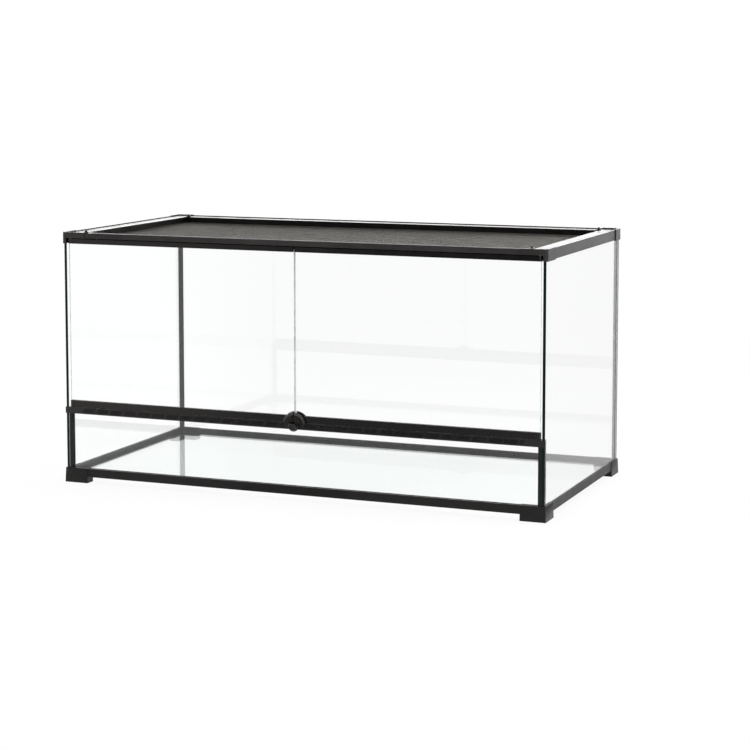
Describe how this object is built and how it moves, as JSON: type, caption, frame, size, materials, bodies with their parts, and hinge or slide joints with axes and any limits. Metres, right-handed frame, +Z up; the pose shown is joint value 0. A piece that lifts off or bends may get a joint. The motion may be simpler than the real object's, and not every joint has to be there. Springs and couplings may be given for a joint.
{
  "type": "reptile terrarium",
  "caption": "Glass reptile terrarium with two swinging front doors over a slotted vent strip, a turning door lock and a lift-out mesh screen cover held by four screen locks.",
  "frame": {"origin": "centre of the whole part's box on the surface it stands on", "axes": "+X to the right along the doors, +Y from the doors to the rear panel, +Z up"},
  "size_m": [0.9, 0.4594, 0.4523],
  "materials": {
    "black_plastic": "satin moulded black plastic",
    "clear_glass": "clear float glass with green-black edges",
    "woven_mesh": "woven wire mesh, matte grey",
    "pin_steel": "plain steel",
    "black_rubber": "matte black"
  },
  "bodies": {
    "tank": {"base_rail_front": "black_plastic", "base_rail_right": "black_plastic", "base_rail_rear": "black_plastic", "base_rail_left": "black_plastic", "foot_front_left": "black_plastic", "foot_front_right": "black_plastic", "foot_rear_left": "black_plastic", "foot_rear_right": "black_plastic", "bottom_glass": "clear_glass", "rear_glass": "clear_glass", "left_glass": "clear_glass", "right_glass": "clear_glass", "lower_front_glass": "clear_glass", "front_post_left": "black_plastic", "front_post_right": "black_plastic", "corner_seals": "black_rubber", "vent_strip": "black_plastic", "vent_end_left": "black_plastic", "vent_end_right": "black_plastic", "top_rail_front": "black_plastic", "top_rail_right": "black_plastic", "top_rail_rear": "black_plastic", "top_rail_left": "black_plastic", "top_corner_front_left": "black_plastic", "top_corner_front_right": "black_plastic", "top_corner_rear_left": "black_plastic", "top_corner_rear_right": "black_plastic"},
    "left_door": {"left_door_glass": "clear_glass", "left_door_bottom_rail": "black_plastic", "left_door_top_rail": "black_plastic", "left_door_pull": "black_plastic", "left_door_pins": "pin_steel"},
    "right_door": {"right_door_glass": "clear_glass", "right_door_bottom_rail": "black_plastic", "right_door_top_rail": "black_plastic", "right_door_pull": "black_plastic", "right_door_pins": "pin_steel"},
    "door_lock": {"lock_knob": "black_plastic", "lock_spindle": "pin_steel", "lock_clip": "pin_steel"},
    "screen_cover": {"screen_bar_front": "black_plastic", "screen_bar_right": "black_plastic", "screen_bar_rear": "black_plastic", "screen_bar_left": "black_plastic", "screen_corner_front_left": "black_plastic", "screen_corner_front_right": "black_plastic", "screen_corner_rear_left": "black_plastic", "screen_corner_rear_right": "black_plastic", "screen_mesh": "woven_mesh", "screen_spline": "black_rubber"},
    "lock_front_left": {"screen_lock_front_left": "black_plastic", "screen_tongue_front_left": "black_plastic"},
    "lock_front_right": {"screen_lock_front_right": "black_plastic", "screen_tongue_front_right": "black_plastic"},
    "lock_rear_left": {"screen_lock_rear_left": "black_plastic", "screen_tongue_rear_left": "black_plastic"},
    "lock_rear_right": {"screen_lock_rear_right": "black_plastic", "screen_tongue_rear_right": "black_plastic"}
  },
  "joints": [
    {"name": "left_door_swing", "type": "hinge", "parent": "tank", "child": "left_door", "pos_m": [-0.4355, -0.21435, 0.14], "axis": [0, 0, -1], "range_deg": [0, 105]},
    {"name": "right_door_swing", "type": "hinge", "parent": "tank", "child": "right_door", "pos_m": [0.4355, -0.21435, 0.14], "axis": [0, 0, 1], "range_deg": [0, 105]},
    {"name": "door_lock_turn", "type": "hinge", "parent": "tank", "child": "door_lock", "pos_m": [0, -0.225, 0.131], "axis": [0, 1, 0], "range_deg": [0, 90]},
    {"name": "screen_cover_lift", "type": "slide", "parent": "tank", "child": "screen_cover", "axis": [0, 0, 1], "range_m": [0, 0.15]},
    {"name": "screen_lock_front_left_turn", "type": "hinge", "parent": "screen_cover", "child": "lock_front_left", "pos_m": [-0.415, -0.19535, 0.44], "axis": [0, 0, -1], "range_deg": [0, 90]},
    {"name": "screen_lock_front_right_turn", "type": "hinge", "parent": "screen_cover", "child": "lock_front_right", "pos_m": [0.415, -0.19535, 0.44], "axis": [0, 0, 1], "range_deg": [0, 90]},
    {"name": "screen_lock_rear_left_turn", "type": "hinge", "parent": "screen_cover", "child": "lock_rear_left", "pos_m": [-0.415, 0.20465, 0.44], "axis": [0, 0, 1], "range_deg": [0, 90]},
    {"name": "screen_lock_rear_right_turn", "type": "hinge", "parent": "screen_cover", "child": "lock_rear_right", "pos_m": [0.415, 0.20465, 0.44], "axis": [0, 0, -1], "range_deg": [0, 90]}
  ]
}
